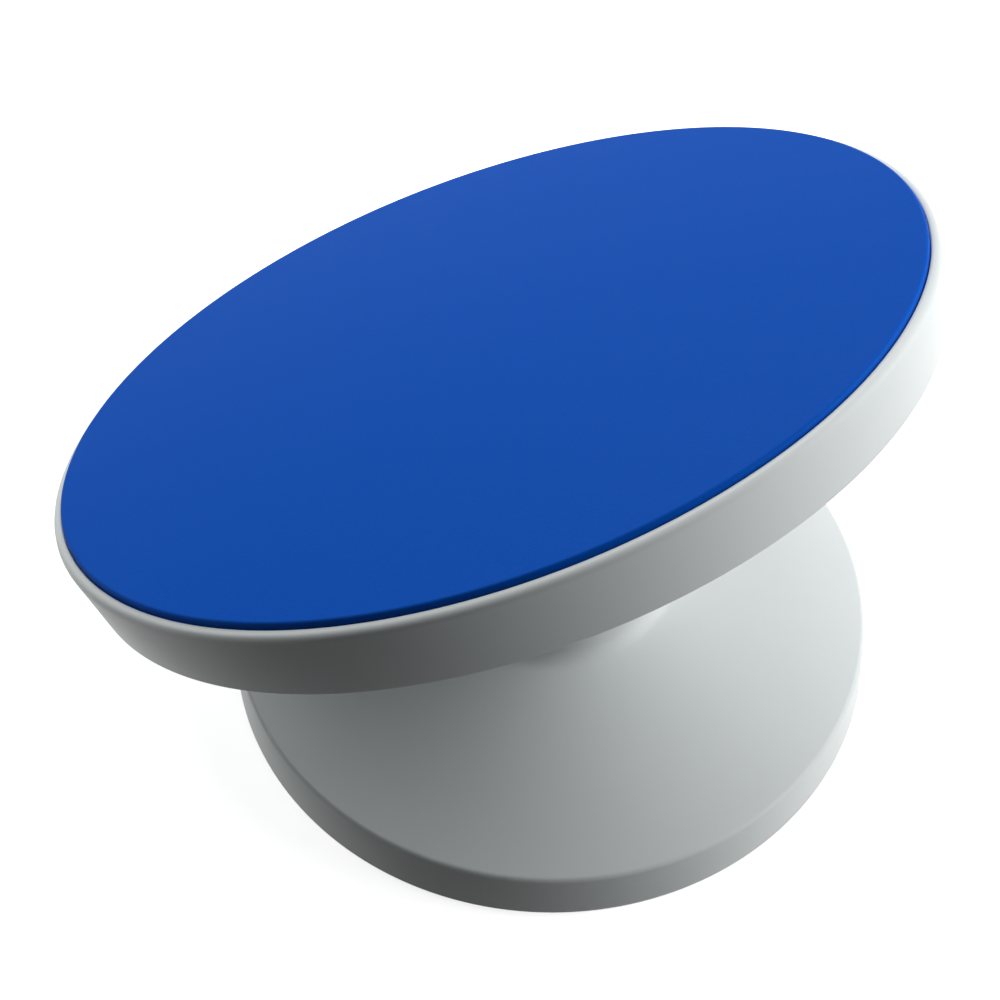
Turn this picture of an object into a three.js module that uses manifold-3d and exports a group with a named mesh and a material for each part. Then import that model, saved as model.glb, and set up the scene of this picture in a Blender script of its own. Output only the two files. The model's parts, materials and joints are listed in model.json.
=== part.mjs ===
// Tilting cake turntable: a round plate with a non-slip pad turns on a ball bearing, and the head
// that carries the bearing tilts on a cross bolt inside the neck of a wide, shallow cone base.
// Millimetres, +Z up. The origin is on the table, at the middle of the base.
import Module from 'manifold-3d';
import * as THREE from 'three';
import { mergeVertices } from 'three/addons/utils/BufferGeometryUtils.js';

// ---- Driving dimensions ----
const TILT = THREE.MathUtils.degToRad(27.5); // lean of the plate from level, towards -X
const PIVOT_Z = 65;          // height of the tilt axis above the table
const GAP = 0.3;             // clearance between neighbouring pieces
const EDGE = 0.6;            // broken edge of a moulded or turned piece
const BIG_STEPS = 48;        // sides round the plate and the base

// Heights named H_ are measured from the tilt axis, along the axis that the plate turns on.
const PLATE_R = 152.5;
const H_PAD_TOP = 76.5;
const PAD_PROUD = 2;         // the pad stands this far above the rim
const PAD_THICK = 3.5;
const PAD_R = 148.3;
const SKIRT_DEPTH = 24;
const SKIRT_FOOT_R = 148.5;  // outer radius at the lower edge of the skirt
const RIM_ROUND = 2.5;
const WALL = 2.6;            // moulded wall thickness
const H_RIM = H_PAD_TOP - PAD_PROUD;
const H_SEAT = H_PAD_TOP - PAD_THICK - GAP;  // floor of the recess that the pad lies in
const H_DECK = H_SEAT - 3;                   // underside of the deck
const H_SKIRT = H_RIM - SKIRT_DEPTH;         // lower edge of the skirt
const RIB_COUNT = 12;
const RIB_THICK = 2;

const BASE_R = 116;
const BASE_EDGE_R = 114.2;   // widest point at the top of the base's band
const BASE_EDGE_Z = 21;
const BASE_LIFT = 1.5;       // the feet hold the shell this far off the table
const NECK_R = 42.4;
const NECK_FOOT_Z = 46;
const NECK_TOP_Z = PIVOT_Z + 2;
const DOME_R = 39;
const DOME_WALL = 2.7;
const DOME_EDGE = -25;       // degrees below the tilt axis at which the dome ends
const NECK_BORE_R = DOME_R + 0.6;
const STEM_R = 22;
const FLANGE_R = 46;
const H_FLANGE = 51;         // top of the head's flange
const FLANGE_THICK = 4;

const RACE_R = 36;           // radius of the circle that the ball centres run on
const RACE_HALF = 7;         // half of a race's radial width
const RACE_THICK = 2.5;
const GROOVE_DEPTH = 1;
const BALL_R = 2.5;
const BALL_COUNT = 12;
const CAGE_HALF = 5;
const CAGE_THICK = 1.6;
const H_LOWER_RACE = H_FLANGE + GAP;
const H_BALL = H_LOWER_RACE + RACE_THICK - GROOVE_DEPTH + GAP + BALL_R;
const H_UPPER_RACE = H_BALL + BALL_R + GAP - GROOVE_DEPTH;
const H_HUB = H_UPPER_RACE + RACE_THICK + GAP;  // underside of the plate's hub
const SPINDLE_R = 5;
const BUSH_R = 8.7;
const WASHER_R = 12;
const H_SPINDLE_TOP = H_SEAT - 6.2;
const SPINDLE_HEX = 17;      // across the flats of the spindle's head and nut
const SPINDLE_HEAD = 4.5;
const RETAINER_R = 2.5;      // screw in the top of the spindle

const BOLT_R = 3;
const BOLT_HEX = 10;
const CHEEK_Y = 12.5;        // inner face of each bracket cheek
const CHEEK_THICK = 2.5;
const FRICTION_WASHER = 0.9;
const EAR_Y = CHEEK_Y + CHEEK_THICK + FRICTION_WASHER + 2 * GAP;
const EAR_THICK = 4;
const EAR_HALF = 10;
const EAR_OUT = EAR_Y + EAR_THICK;
const STOP_ARM = 20;         // stop pin to tilt axis
const STOP_PIN_R = 2;

const COVER_R = 112.6;
const COVER_THICK = 2.5;
const COVER_TOP = BASE_LIFT + COVER_THICK;
const PLATFORM_R = 38;
const PLATFORM_TOP = 7.5;
const EDGE_SCREWS = 6;
const EDGE_SCREW_AT = 100;   // radius of the circle of cover screws, and of feet
const FOOT_R = 8;
const MIDDLE_FOOT_R = 14;
const FOOT_THICK = 2.7;
const EDGE_SCREW_R = 1.6;
const EDGE_SCREW_TIP = 15;
const BRACKET_SCREW_R = 2;
const BRACKET_SCREW_AT = [24, 10];

// ---- Materials ----
const paint = (color, roughness, metalness = 0) =>
  new THREE.MeshStandardMaterial({ color, roughness, metalness });
const WHITE_PLASTIC = paint(0xe9ebec, 0.42);
const BLUE_RUBBER = paint(0x0c50b0, 0.6);
const GREY_PLASTIC = paint(0xb9bdc0, 0.5);
const BLACK_RUBBER = paint(0x1d1e20, 0.85);
const ZINC_STEEL = paint(0xb4b6b8, 0.35, 1);
const BRIGHT_STEEL = paint(0xd2d4d6, 0.2, 1);
const BRONZE = paint(0xa97b3f, 0.4, 1);
const FIBRE = paint(0x6d5a46, 0.8);

// ---- Shape helpers ----
const wasm = await Module();
wasm.setup();

function area(points) {
  let sum = 0;
  points.forEach((p, i) => {
    const q = points[(i + 1) % points.length];
    sum += p[0] * q[1] - q[0] * p[1];
  });
  return sum / 2;
}

// Revolves a closed [radius, height] outline about Z. An outline with a bore closes on itself.
function turned(outline, segments = 24) {
  const points = area(outline) < 0 ? outline.slice().reverse() : outline.slice();
  const bored = points.every(([r]) => r > 0);
  if (bored) {
    points.push(points[0]);
  }
  const profile = points.map(([r, z]) => new THREE.Vector2(r, z));
  return new THREE.LatheGeometry(profile, segments).rotateX(Math.PI / 2);
}

// Points of an arc about (r, z), in degrees, for use inside an outline.
function arc(r, z, radius, from, to, steps) {
  return Array.from({ length: steps + 1 }, (_, i) => {
    const a = THREE.MathUtils.degToRad(from + ((to - from) * i) / steps);
    return [r + radius * Math.cos(a), z + radius * Math.sin(a)];
  });
}

function disc(radius, z0, z1, segments = 24) {
  return turned([[0, z0], [radius, z0], [radius, z1], [0, z1]], segments);
}

function ring(inner, outer, z0, z1, segments = 24) {
  return turned([[inner, z0], [outer, z0], [outer, z1], [inner, z1]], segments);
}

function circlePoints(x, y, radius, steps) {
  return arc(x, y, radius, 0, 360, steps).slice(0, -1).map(([u, v]) => new THREE.Vector2(u, v));
}

const circlePath = (x, y, radius, steps = 14) => new THREE.Path(circlePoints(x, y, radius, steps));

// Extrudes a flat shape upwards from z0 to z1.
function slab(shape, z0, z1) {
  const options = { depth: z1 - z0, bevelEnabled: false };
  return new THREE.ExtrudeGeometry(shape, options).translate(0, 0, z0);
}

const flat = (points) => new THREE.Shape(points.map(([x, y]) => new THREE.Vector2(x, y)));

function hexShape(acrossFlats) {
  return new THREE.Shape(circlePoints(0, 0, acrossFlats / 2 / Math.cos(Math.PI / 6), 6));
}

function hexNut(acrossFlats, boreR, z0, z1) {
  const shape = hexShape(acrossFlats);
  shape.holes.push(circlePath(0, 0, boreR, 20));
  return slab(shape, z0, z1);
}

function toSolid(geometry) {
  const bare = geometry.clone();
  bare.deleteAttribute('normal');
  bare.deleteAttribute('uv');
  const merged = mergeVertices(bare, 1e-4);
  const vertProperties = new Float32Array(merged.attributes.position.array);
  const triVerts = new Uint32Array(merged.index.array);
  return new wasm.Manifold(new wasm.Mesh({ numProp: 3, vertProperties, triVerts }));
}

function toGeometry(solid) {
  const mesh = solid.getMesh();
  const geometry = new THREE.BufferGeometry();
  geometry.setAttribute('position', new THREE.BufferAttribute(mesh.vertProperties, 3));
  geometry.setIndex(new THREE.BufferAttribute(mesh.triVerts, 1));
  geometry.computeVertexNormals();
  return geometry;
}

const joined = (start, ...rest) => rest.reduce((sum, g) => sum.add(toSolid(g)), start);
const cut = (start, ...rest) => rest.reduce((sum, g) => sum.subtract(toSolid(g)), start);

function place(group, name, geometry, material) {
  const mesh = new THREE.Mesh(geometry, material);
  mesh.name = name;
  group.add(mesh);
  return mesh;
}

// Calls make(angle, index) for count places round a full turn.
function around(count, make, offset = 0) {
  return Array.from({ length: count }, (_, i) => make(offset + (2 * Math.PI * i) / count, i));
}

const polar = (radius, angle) => [radius * Math.cos(angle), radius * Math.sin(angle)];

// A screw with its head at the bottom: the head from headZ to seatZ, the shank up to tipZ.
function screwFromBelow(headR, headZ, seatZ, shankR, tipZ) {
  return turned([
    [0, headZ], [headR - EDGE, headZ], [headR, headZ + EDGE], [headR, seatZ],
    [shankR, seatZ], [shankR, tipZ - 1], [shankR - 0.8, tipZ], [0, tipZ],
  ], 10);
}

// ---- Base ----

// Outside of the base from the foot of its band to the top of the neck.
function baseOutline(inset) {
  const slope = (NECK_FOOT_Z - BASE_EDGE_Z) / (BASE_EDGE_R - 2 - NECK_R - 2);
  const drop = inset * Math.sqrt(1 + slope * slope);
  const edgeZ = BASE_EDGE_Z - drop;
  const shoulder = inset > 0
    ? [[BASE_EDGE_R - inset - 0.8, edgeZ - 1.2], [BASE_EDGE_R - inset - 2, edgeZ]]
    : [[BASE_EDGE_R, BASE_EDGE_Z - 2.2], ...arc(BASE_EDGE_R - 2.2, BASE_EDGE_Z - 2.2, 2.2, 22, 68, 2)];
  return [
    [BASE_R - inset, BASE_LIFT],
    ...shoulder,
    [NECK_R + 2 - inset / 2, NECK_FOOT_Z - drop],
  ];
}

function baseShell() {
  const outside = [
    ...baseOutline(0),
    [NECK_R + 0.5, NECK_FOOT_Z + 0.9],
    [NECK_R, NECK_FOOT_Z + 2.2],
    [NECK_R - 0.5, NECK_TOP_Z - 1],
    [NECK_R - 1, NECK_TOP_Z - 0.2],
    [NECK_R - 1.6, NECK_TOP_Z],
  ];
  const inside = [
    [NECK_BORE_R + 0.4, NECK_TOP_Z],
    [NECK_BORE_R, NECK_TOP_Z - 0.5],
    [NECK_BORE_R, NECK_FOOT_Z - 0.5],
    ...baseOutline(WALL).reverse(),
  ];
  const filled = [[0, BASE_LIFT], ...outside, [0, NECK_TOP_Z]];
  const bossR = EDGE_SCREW_R + WALL;
  const bosses = around(EDGE_SCREWS, (a) => {
    const [x, y] = polar(EDGE_SCREW_AT, a);
    return disc(bossR, COVER_TOP + GAP, BASE_EDGE_Z + 9, 12).translate(x, y, 0);
  });
  const holes = around(EDGE_SCREWS, (a) => {
    const [x, y] = polar(EDGE_SCREW_AT, a);
    return disc(EDGE_SCREW_R + GAP, BASE_LIFT, EDGE_SCREW_TIP + 2, 10).translate(x, y, 0);
  });
  const shell = joined(toSolid(turned([...outside, ...inside], BIG_STEPS)), ...bosses);
  return toGeometry(cut(shell.intersect(toSolid(turned(filled, BIG_STEPS))), ...holes));
}

// The room that a sunk screw takes in the cover: a wide pocket for its head, then its shank.
function sunkHole(headR, seatZ, shankR, topZ) {
  const low = BASE_LIFT - 1;
  return turned([
    [0, low], [headR, low], [headR, seatZ], [shankR, seatZ], [shankR, topZ], [0, topZ],
  ], 10);
}

// Flat cover with a thicker middle that carries the bracket, pockets for the feet and sunk screws.
function bottomCover() {
  const body = toSolid(turned([
    [0, BASE_LIFT], [COVER_R, BASE_LIFT], [COVER_R, COVER_TOP], [PLATFORM_R + 1, COVER_TOP],
    [PLATFORM_R, PLATFORM_TOP], [0, PLATFORM_TOP],
  ], BIG_STEPS));
  const pads = around(EDGE_SCREWS, (a) => {
    const [x, y] = polar(EDGE_SCREW_AT, a + Math.PI / EDGE_SCREWS);
    return disc(FOOT_R + WALL, BASE_LIFT, COVER_TOP + 1, 14).translate(x, y, 0);
  });
  const pockets = around(EDGE_SCREWS, (a) => {
    const [x, y] = polar(EDGE_SCREW_AT, a + Math.PI / EDGE_SCREWS);
    return disc(FOOT_R + GAP, BASE_LIFT - 1, FOOT_THICK + GAP, 14).translate(x, y, 0);
  });
  const edgeHoles = around(EDGE_SCREWS, (a) => {
    const [x, y] = polar(EDGE_SCREW_AT, a);
    return sunkHole(3.6, BASE_LIFT + 1.3, EDGE_SCREW_R + GAP, COVER_TOP + 1).translate(x, y, 0);
  });
  const bracketHoles = bracketScrewPlaces().map(([x, y]) => (
    sunkHole(4.3, COVER_TOP + 0.8, BRACKET_SCREW_R + GAP, PLATFORM_TOP + 1).translate(x, y, 0)
  ));
  const middlePocket = disc(MIDDLE_FOOT_R + GAP, BASE_LIFT - 1, FOOT_THICK + GAP);
  const cover = cut(joined(body, ...pads), ...pockets, ...edgeHoles, ...bracketHoles, middlePocket);
  return toGeometry(cover);
}

function foot(radius, segments) {
  return turned([
    [0, 0], [radius - 0.7, 0], [radius, 0.7], [radius, FOOT_THICK], [0, FOOT_THICK],
  ], segments);
}

function bracketScrewPlaces() {
  const [x, y] = BRACKET_SCREW_AT;
  return [[x, y], [-x, y], [-x, -y], [x, -y]];
}

function addBase(group) {
  place(group, 'base_shell', baseShell(), WHITE_PLASTIC);
  place(group, 'bottom_cover', bottomCover(), GREY_PLASTIC);
  const edgeScrew = screwFromBelow(3.2, BASE_LIFT, BASE_LIFT + 1, EDGE_SCREW_R, EDGE_SCREW_TIP);
  around(EDGE_SCREWS, (a, i) => {
    const screw = place(group, `cover_screw_${i + 1}`, edgeScrew, ZINC_STEEL);
    screw.position.set(...polar(EDGE_SCREW_AT, a), 0);
  });
  around(EDGE_SCREWS, (a, i) => {
    const rubber = place(group, `rubber_foot_${i + 1}`, foot(FOOT_R, 14), BLACK_RUBBER);
    rubber.position.set(...polar(EDGE_SCREW_AT, a), 0);
  }, Math.PI / EDGE_SCREWS);
  place(group, 'middle_foot', foot(MIDDLE_FOOT_R, 24), BLACK_RUBBER);
}

// ---- Tilt pivot, fixed in the base ----
const BRACKET_FOOT_Z = PLATFORM_TOP + GAP;
const BRACKET_SHEET = 2.5;
const BOLT_HEAD = 4;
const SPRING_RISE = 1.5;
const NUT_HIGH = 4.5;

// Side view of one cheek, with X across and Z up, drawn about the tilt axis.
function cheekShape() {
  const foot = BRACKET_FOOT_Z - PIVOT_Z;
  const halfFoot = 18;
  const top = 12;
  const shape = flat([
    [halfFoot, foot], [halfFoot, -STOP_ARM], ...arc(0, 0, top, 0, 180, 8),
    [-halfFoot, -STOP_ARM], [-halfFoot, foot],
  ]);
  shape.holes.push(circlePath(0, 0, BOLT_R + GAP));
  shape.holes.push(stopSlot());
  return shape;
}

// Curved slot that the stop pin runs in. Its ends stop the head when the plate is fully tilted.
function stopSlot() {
  const swing = THREE.MathUtils.radToDeg(TILT);
  const half = STOP_PIN_R + 0.4;
  const endAt = (sign) => {
    const a = THREE.MathUtils.degToRad(-90 + sign * swing);
    return [STOP_ARM * Math.cos(a), STOP_ARM * Math.sin(a)];
  };
  const right = endAt(1);
  const left = endAt(-1);
  const points = [
    ...arc(0, 0, STOP_ARM + half, -90 - swing, -90 + swing, 8),
    ...arc(right[0], right[1], half, -90 + swing, 90 + swing, 6).slice(1, -1),
    ...arc(0, 0, STOP_ARM - half, -90 + swing, -90 - swing, 8),
    ...arc(left[0], left[1], half, 90 - swing, 270 - swing, 6).slice(1, -1),
  ];
  return new THREE.Path(points.map(([x, z]) => new THREE.Vector2(x, z)));
}

function pivotBracket() {
  const cheek = slab(cheekShape(), 0, CHEEK_THICK).rotateX(Math.PI / 2);
  const near = cheek.clone().translate(0, -CHEEK_Y, PIVOT_Z);
  const far = cheek.clone().translate(0, CHEEK_Y + CHEEK_THICK, PIVOT_Z);
  const halfX = 31;
  const halfY = CHEEK_Y + CHEEK_THICK;
  const plan = flat([[halfX, -halfY], [halfX, halfY], [-halfX, halfY], [-halfX, -halfY]]);
  const holeR = BRACKET_SCREW_R + GAP;
  bracketScrewPlaces().forEach(([x, y]) => plan.holes.push(circlePath(x, y, holeR, 10)));
  const sheet = slab(plan, BRACKET_FOOT_Z, BRACKET_FOOT_Z + BRACKET_SHEET);
  return toGeometry(joined(toSolid(sheet), near, far));
}

function addPivot(group) {
  place(group, 'pivot_bracket', pivotBracket(), ZINC_STEEL);
  const seat = COVER_TOP + 0.5;
  const tip = BRACKET_FOOT_Z + 6;
  const screw = screwFromBelow(3.9, BASE_LIFT + 0.4, seat, BRACKET_SCREW_R, tip);
  bracketScrewPlaces().forEach(([x, y], i) => {
    place(group, `bracket_screw_${i + 1}`, screw, ZINC_STEEL).position.set(x, y, 0);
  });

  // Pieces on the cross bolt are drawn standing up, then laid along Y.
  const cross = new THREE.Group();
  cross.position.z = PIVOT_Z;
  cross.rotation.x = -Math.PI / 2;
  group.add(cross);
  const headTop = -EAR_OUT - GAP;
  const springLow = EAR_OUT + GAP;
  const nutLow = springLow + SPRING_RISE + GAP;
  const nutTop = nutLow + NUT_HIGH;
  const boltEnd = nutTop + 1.4;
  const bore = BOLT_R + GAP;
  const boltHead = slab(hexShape(BOLT_HEX), headTop - BOLT_HEAD, headTop);
  const shank = turned([
    [0, headTop - 1], [BOLT_R, headTop - 1], [BOLT_R, boltEnd - EDGE], [BOLT_R - EDGE, boltEnd],
    [0, boltEnd],
  ], 16);
  place(cross, 'pivot_bolt', toGeometry(joined(toSolid(boltHead), shank)), ZINC_STEEL);
  const spring = turned([
    [bore, springLow + 0.5], [2 * BOLT_R, springLow], [2 * BOLT_R, springLow + 1],
    [bore, springLow + SPRING_RISE],
  ], 18);
  place(cross, 'spring_washer', spring, BRIGHT_STEEL);
  place(cross, 'pivot_nut', hexNut(BOLT_HEX, bore, nutLow, nutTop), ZINC_STEEL);
  const washerAt = CHEEK_Y + CHEEK_THICK + GAP;
  [washerAt, -washerAt - FRICTION_WASHER].forEach((z, i) => {
    const washer = ring(bore, BOLT_HEX, z, z + FRICTION_WASHER, 18);
    place(cross, `friction_washer_${i + 1}`, washer, FIBRE);
  });
}

// ---- Tilting head ----

// Spherical dome that closes the neck at every tilt, with a stem and a flange above it.
function tiltHead() {
  const inner = DOME_R - DOME_WALL;
  const stemIn = STEM_R - 3.5;
  const deg = THREE.MathUtils.radToDeg;
  const outerTop = deg(Math.acos(STEM_R / DOME_R));
  const innerTop = deg(Math.acos(stemIn / inner));
  const flangeLow = H_FLANGE - FLANGE_THICK;
  const body = turned([
    [SPINDLE_R + GAP, H_FLANGE], [SPINDLE_R + GAP, flangeLow], [stemIn, flangeLow],
    ...arc(0, 0, inner, innerTop, DOME_EDGE, 7),
    ...arc(0, 0, DOME_R, DOME_EDGE, outerTop, 9),
    [STEM_R, flangeLow - 3], [STEM_R + 3, flangeLow],
    [FLANGE_R - EDGE, flangeLow], [FLANGE_R, flangeLow + EDGE],
    [FLANGE_R, H_FLANGE - EDGE], [FLANGE_R - EDGE, H_FLANGE],
  ], 40);
  const shape = flat([
    ...arc(0, -STOP_ARM, 6, 180, 360, 6),
    [EAR_HALF, 0], [EAR_HALF, inner], [-EAR_HALF, inner], [-EAR_HALF, 0],
  ]);
  shape.holes.push(circlePath(0, 0, BOLT_R + GAP));
  shape.holes.push(circlePath(0, -STOP_ARM, STOP_PIN_R + GAP, 10));
  const ear = slab(shape, 0, EAR_THICK).rotateX(Math.PI / 2);
  const near = ear.clone().translate(0, -EAR_Y, 0);
  const far = ear.clone().translate(0, EAR_OUT, 0);
  const ball = new THREE.SphereGeometry(inner + 1, 24, 16);
  const ears = joined(toSolid(near), far).intersect(toSolid(ball));
  return toGeometry(joined(ears, body));
}

function race(low, grooveUp) {
  const half = BALL_R + 0.3;
  const drop = half - GROOVE_DEPTH;
  const open = THREE.MathUtils.radToDeg(Math.asin(drop / half));
  const top = low + RACE_THICK;
  const inner = RACE_R - RACE_HALF;
  const outer = RACE_R + RACE_HALF;
  if (grooveUp) {
    const groove = arc(RACE_R, top + drop, half, -open, -180 + open, 4);
    return turned([[inner, low], [outer, low], [outer, top], ...groove, [inner, top]], 40);
  }
  const groove = arc(RACE_R, low - drop, half, 180 - open, open, 4);
  return turned([[inner, low], ...groove, [outer, low], [outer, top], [inner, top]], 40);
}

function spindle() {
  const seat = H_FLANGE - FLANGE_THICK - GAP;
  const hexHead = slab(hexShape(SPINDLE_HEX), seat - SPINDLE_HEAD, seat);
  const shaft = disc(SPINDLE_R, seat - 2, H_SPINDLE_TOP, 20);
  const tapped = disc(RETAINER_R + GAP, H_SPINDLE_TOP - 12, H_SPINDLE_TOP + 1, 12);
  return toGeometry(cut(joined(toSolid(hexHead), shaft), tapped));
}

function addHead(group) {
  place(group, 'tilt_head', tiltHead(), WHITE_PLASTIC);
  const pinHalf = EAR_OUT + 2.5;
  const pin = turned([
    [0, -pinHalf], [STOP_PIN_R - EDGE, -pinHalf], [STOP_PIN_R, EDGE - pinHalf],
    [STOP_PIN_R, pinHalf - EDGE], [STOP_PIN_R - EDGE, pinHalf], [0, pinHalf],
  ], 12);
  const stop = place(group, 'stop_pin', pin, BRIGHT_STEEL);
  stop.rotation.x = -Math.PI / 2;
  stop.position.z = -STOP_ARM;
  place(group, 'spindle', spindle(), ZINC_STEEL);
  const nut = hexNut(SPINDLE_HEX, SPINDLE_R + GAP, H_FLANGE + GAP, H_FLANGE + GAP + 4);
  place(group, 'spindle_nut', nut, ZINC_STEEL);
  place(group, 'lower_race', race(H_LOWER_RACE, true), BRIGHT_STEEL);

  const washerLow = H_SPINDLE_TOP + GAP;
  const washerTop = washerLow + 1.6;
  const washer = ring(RETAINER_R + GAP, WASHER_R, washerLow, washerTop, 20);
  place(group, 'retaining_washer', washer, ZINC_STEEL);
  const headLow = washerTop + GAP;
  const headTop = headLow + 3;
  const headR = 2 * RETAINER_R;
  const tip = H_SPINDLE_TOP - 11;
  const screw = turned([
    [0, tip], [RETAINER_R, tip], [RETAINER_R, headLow], [headR, headLow],
    [headR, headTop - 1], [headR - 1, headTop], [0, headTop],
  ], 12);
  place(group, 'retaining_screw', screw, ZINC_STEEL);
}

// ---- Ball bearing ----
function addBearing(group) {
  const plan = new THREE.Shape(circlePoints(0, 0, RACE_R + CAGE_HALF, 36));
  plan.holes.push(circlePath(0, 0, RACE_R - CAGE_HALF, 36));
  around(BALL_COUNT, (a) => plan.holes.push(circlePath(...polar(RACE_R, a), BALL_R + GAP, 10)));
  const half = CAGE_THICK / 2;
  place(group, 'bearing_cage', slab(plan, H_BALL - half, H_BALL + half), GREY_PLASTIC);
  const ball = new THREE.SphereGeometry(BALL_R, 9, 6);
  around(BALL_COUNT, (a, i) => {
    const mesh = place(group, `bearing_ball_${i + 1}`, ball, BRIGHT_STEEL);
    mesh.position.set(...polar(RACE_R, a), H_BALL);
  });
}

// ---- Turning plate ----
const HUB_BOSS_R = 13;
const SEAT_IN = RACE_R - RACE_HALF - 1;
const SEAT_OUT = RACE_R + RACE_HALF + 1;
const DUST_RING_IN = FLANGE_R + 1;
const DUST_RING_OUT = DUST_RING_IN + 2.5;
const RING_RIB_R = 98;
const H_RIB_INNER = H_DECK - 4;
const H_RIB_OUTER = H_DECK - 2.5;
const H_RING_RIB = H_DECK - 3;

function plateOutside() {
  return [
    ...arc(SKIRT_FOOT_R - 0.8, H_SKIRT + 0.8, 0.8, -90, 0, 2),
    ...arc(PLATE_R - RIM_ROUND, H_RIM - RIM_ROUND, RIM_ROUND, 0, 90, 4),
    [PAD_R + GAP + 0.4, H_RIM],
    [PAD_R + GAP, H_RIM - 0.4],
  ];
}

function plateShell() {
  const counterR = WASHER_R + 1;
  const centre = [
    [PAD_R + GAP, H_SEAT], [counterR, H_SEAT], [counterR, H_SPINDLE_TOP],
    [BUSH_R + GAP, H_SPINDLE_TOP], [BUSH_R + GAP, H_HUB], [HUB_BOSS_R, H_HUB],
    [HUB_BOSS_R + 0.6, H_DECK - 4], [SEAT_IN - 0.6, H_DECK - 4], [SEAT_IN, H_HUB],
    [SEAT_OUT, H_HUB], [SEAT_OUT + 0.4, H_DECK], [DUST_RING_IN - 0.4, H_DECK],
    [DUST_RING_IN, H_FLANGE - 1], [DUST_RING_OUT, H_FLANGE - 1], [DUST_RING_OUT + 0.5, H_DECK],
  ];
  const under = [
    [RING_RIB_R - 1.3, H_DECK], [RING_RIB_R - 1, H_RING_RIB], [RING_RIB_R + 1, H_RING_RIB],
    [RING_RIB_R + 1.3, H_DECK], [PLATE_R - WALL - 1.6, H_DECK], [PLATE_R - WALL - 0.8, H_DECK - 1],
    [SKIRT_FOOT_R - WALL, H_SKIRT + 0.6], [SKIRT_FOOT_R - WALL + 0.6, H_SKIRT],
  ];
  const body = toSolid(turned([...plateOutside(), ...centre, ...under], BIG_STEPS));
  const filled = turned([[0, H_SKIRT], ...plateOutside(), [0, H_RIM]], BIG_STEPS);
  const start = DUST_RING_OUT - 1;
  const side = flat([
    [start, H_DECK + 1], [start, H_RIB_INNER], [PLATE_R, H_RIB_OUTER], [PLATE_R, H_DECK + 1],
  ]);
  const rib = slab(side, -RIB_THICK / 2, RIB_THICK / 2).rotateX(Math.PI / 2);
  const ribs = around(RIB_COUNT, (a) => rib.clone().rotateZ(a), Math.PI / RIB_COUNT);
  const trimmed = joined(toSolid(ribs[0]), ...ribs.slice(1)).intersect(toSolid(filled));
  return toGeometry(body.add(trimmed));
}

function addPlate(group) {
  place(group, 'plate_shell', plateShell(), WHITE_PLASTIC);
  const low = H_SEAT + GAP;
  const pad = turned([
    [0, low], [PAD_R, low], ...arc(PAD_R - 0.9, H_PAD_TOP - 0.9, 0.9, 0, 90, 3), [0, H_PAD_TOP],
  ], BIG_STEPS);
  place(group, 'non_slip_pad', pad, BLUE_RUBBER);
  place(group, 'upper_race', race(H_UPPER_RACE, false), BRIGHT_STEEL);
  const bush = ring(SPINDLE_R + GAP, BUSH_R, H_HUB, H_SPINDLE_TOP, 20);
  place(group, 'hub_bush', bush, BRONZE);
}

// ---- Assembly ----
const turntable = new THREE.Group();
addBase(turntable);
addPivot(turntable);

const tilting = new THREE.Group();
tilting.position.z = PIVOT_Z;
tilting.rotation.y = -TILT;
turntable.add(tilting);
addHead(tilting);
addBearing(tilting);
addPlate(tilting);

export default turntable;
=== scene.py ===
import json
import math

import bmesh
import bpy
from mathutils import Matrix, Vector


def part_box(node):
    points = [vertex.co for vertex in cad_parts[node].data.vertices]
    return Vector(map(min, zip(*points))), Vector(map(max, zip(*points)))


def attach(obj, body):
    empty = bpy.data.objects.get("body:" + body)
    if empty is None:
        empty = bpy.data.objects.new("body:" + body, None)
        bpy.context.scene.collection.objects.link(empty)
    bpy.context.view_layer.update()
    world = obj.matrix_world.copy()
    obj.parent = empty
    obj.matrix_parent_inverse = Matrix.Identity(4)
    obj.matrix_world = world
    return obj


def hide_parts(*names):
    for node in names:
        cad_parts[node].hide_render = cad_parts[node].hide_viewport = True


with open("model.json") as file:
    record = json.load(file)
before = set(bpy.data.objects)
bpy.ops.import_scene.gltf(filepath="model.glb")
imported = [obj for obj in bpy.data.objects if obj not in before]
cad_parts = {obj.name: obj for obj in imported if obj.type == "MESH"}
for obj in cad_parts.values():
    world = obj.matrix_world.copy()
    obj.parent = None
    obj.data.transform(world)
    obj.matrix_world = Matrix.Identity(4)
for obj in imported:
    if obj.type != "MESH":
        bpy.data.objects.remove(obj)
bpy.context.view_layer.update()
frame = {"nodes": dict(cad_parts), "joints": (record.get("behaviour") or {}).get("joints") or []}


# ---------------------------------------------------------------------------------------------
# Feet. Soft black rubber discs, moulded with a ring groove in the face that grips the table.
# Six are pressed into pockets near the edge of the cover, and a wider one into its middle.
mm = 0.001
foot_land = 1.8 * mm
foot_groove_width = 1.3 * mm
foot_groove_depth = 0.5 * mm
foot_edge_round = 0.25 * mm
edge_feet = 6
foot_black = (0.018, 0.018, 0.02, 1)


def deselect():
    bpy.ops.object.select_all(action="DESELECT")


def named(name):
    """Names the object that was just added, and opens it for editing."""
    piece = bpy.context.object
    piece.name = piece.data.name = name
    bpy.ops.object.mode_set(mode="EDIT")
    return piece


def pick_faces(wanted):
    """In edit mode, selects only the faces whose middle and normal suit wanted(middle, normal)."""
    bpy.ops.mesh.select_mode(type="FACE")
    bpy.ops.mesh.select_all(action="DESELECT")
    cage = bmesh.from_edit_mesh(bpy.context.object.data)
    for face in cage.faces:
        face.select = wanted(face.calc_center_median(), face.normal)
    cage.select_flush_mode()
    bmesh.update_edit_mesh(bpy.context.object.data)


def push(distance, direction=(0, 0, 1)):
    """Extrudes the selected faces by that distance along the direction."""
    step = Vector(direction) * distance
    bpy.ops.mesh.extrude_region_move(TRANSFORM_OT_translate={"value": step})


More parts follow.
